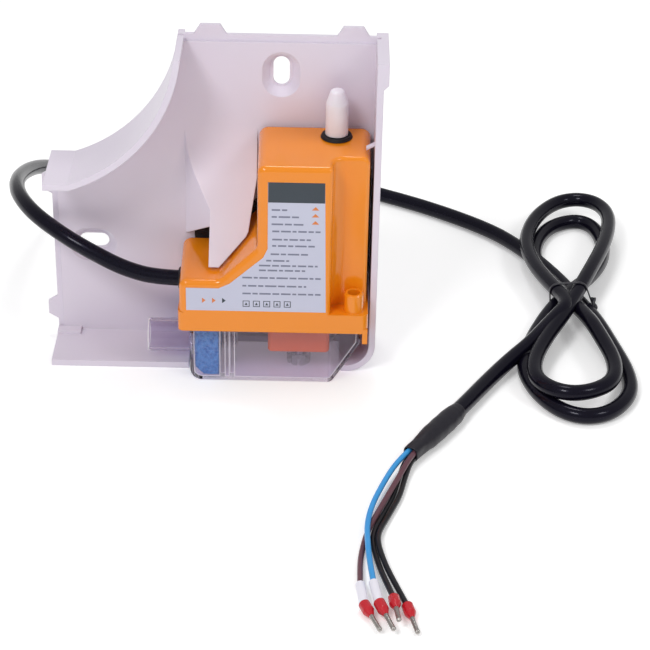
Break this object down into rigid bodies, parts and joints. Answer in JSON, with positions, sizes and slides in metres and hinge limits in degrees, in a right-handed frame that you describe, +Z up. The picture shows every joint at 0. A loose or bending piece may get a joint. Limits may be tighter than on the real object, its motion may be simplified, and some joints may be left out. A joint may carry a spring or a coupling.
{
  "type": "condensate pump",
  "caption": "Float-switched condensate pump with a clear tank, held in a white wall-trunking elbow, with its mains lead hanked and tied.",
  "frame": {"origin": "middle of the width and depth of the elbow and pump, on the plane that they stand on", "axes": "+Z up, as on the wall; front (pump and label) faces -Y; wall side is +Y; the side duct's mouth faces -X"},
  "size_m": [0.2771, 0.3649, 0.144],
  "materials": {
    "white_trunking_plastic": "satin moulded, faintly lavender white",
    "black_foam": "matt closed-cell foam",
    "orange_housing_plastic": "satin moulded ABS",
    "zinc_plated_steel": "bright zinc",
    "printed_label": "satin film label, bare body with a dark header and small arrows",
    "clear_tank_plastic": "clear, slightly smoky",
    "blue_filter_foam": "open-cell foam",
    "float_plastic": "satin",
    "magnet": "sintered",
    "stainless_tube": "drawn",
    "black_moulded_plastic": "satin",
    "bobbin_plastic": "satin",
    "copper_winding": "enamelled copper wire under tape",
    "valve_rubber": "matt",
    "spring_wire": "drawn",
    "mount_rubber": "matt",
    "white_outlet_plastic": "satin",
    "white_cap_plastic": "smooth",
    "silicone_hose": "milky",
    "board_laminate": "solder resist",
    "terminal_plastic": "satin",
    "capacitor_can": "sleeved can",
    "film_capacitor_case": "potted case",
    "fuse_body": "glazed",
    "sensor_body": "moulded",
    "cable_jacket": "satin blue-black jacket",
    "tie_plastic": "satin",
    "heat_shrink": "shrunk sleeve",
    "blue_insulation": "extruded",
    "brown_insulation": "extruded",
    "black_insulation": "extruded",
    "white_sleeving": "satin sleeve",
    "red_ferrule_plastic": "satin",
    "tinned_pin": "tinned copper"
  },
  "bodies": {
    "elbow": {"elbow_base": "white_trunking_plastic", "backing_foam": "black_foam"},
    "pump_unit": {"pump_housing": "orange_housing_plastic", "housing_back": "orange_housing_plastic", "housing_screws": "zinc_plated_steel", "rating_label": "printed_label", "suction_tube": "stainless_tube", "suction_strainer": "black_moulded_plastic", "inlet_fitting": "black_moulded_plastic", "pump_tube": "stainless_tube", "outlet_fitting": "black_moulded_plastic", "coil_bobbin": "bobbin_plastic", "coil_winding": "copper_winding", "steel_yoke": "zinc_plated_steel", "inlet_valve": "valve_rubber", "outlet_valve": "valve_rubber", "lower_spring": "spring_wire", "upper_spring": "spring_wire", "lower_mount": "mount_rubber", "upper_mount": "mount_rubber", "outlet_barb": "white_outlet_plastic", "outlet_grommet": "mount_rubber", "discharge_hose": "silicone_hose", "circuit_board": "board_laminate", "board_screws": "zinc_plated_steel", "terminal_block": "terminal_plastic", "smoothing_capacitor": "capacitor_can", "film_capacitor": "film_capacitor_case", "thermal_fuse": "fuse_body", "hall_sensor": "sensor_body", "cable_gland": "mount_rubber", "power_cable": "cable_jacket", "cable_hank": "cable_jacket", "twist_tie": "tie_plastic", "cable_tail": "cable_jacket", "heat_shrink": "heat_shrink", "blue_wire": "blue_insulation", "brown_wire": "brown_insulation", "black_wire_1": "black_insulation", "black_wire_2": "black_insulation", "marker_sleeves": "white_sleeving", "ferrule_collars": "red_ferrule_plastic", "ferrule_pins": "tinned_pin"},
    "tank": {"reservoir": "clear_tank_plastic", "filter_foam": "blue_filter_foam"},
    "float": {"float_body": "float_plastic", "float_magnet": "magnet"},
    "piston": {"pump_piston": "stainless_tube"},
    "cap": {"discharge_cap": "white_cap_plastic"}
  },
  "joints": [
    {"name": "pump_pull_out", "type": "slide", "parent": "elbow", "child": "pump_unit", "axis": [0, -1, 0], "range_m": [0, 0.04]},
    {"name": "reservoir_unclip", "type": "slide", "parent": "pump_unit", "child": "tank", "axis": [0, 0, -1], "range_m": [0, 0.0024]},
    {"name": "float_rise", "type": "slide", "parent": "pump_unit", "child": "float", "axis": [0, 0, 1], "range_m": [0, 0.005]},
    {"name": "piston_stroke", "type": "slide", "parent": "pump_unit", "child": "piston", "axis": [0, 0, 1], "range_m": [-0.0015, 0.0015], "stiffness_N_per_m": 2000, "deforming": ["lower_spring", "upper_spring"]},
    {"name": "cap_pull_off", "type": "slide", "parent": "pump_unit", "child": "cap", "axis": [0, 0, 1], "range_m": [0, 0.025]}
  ]
}
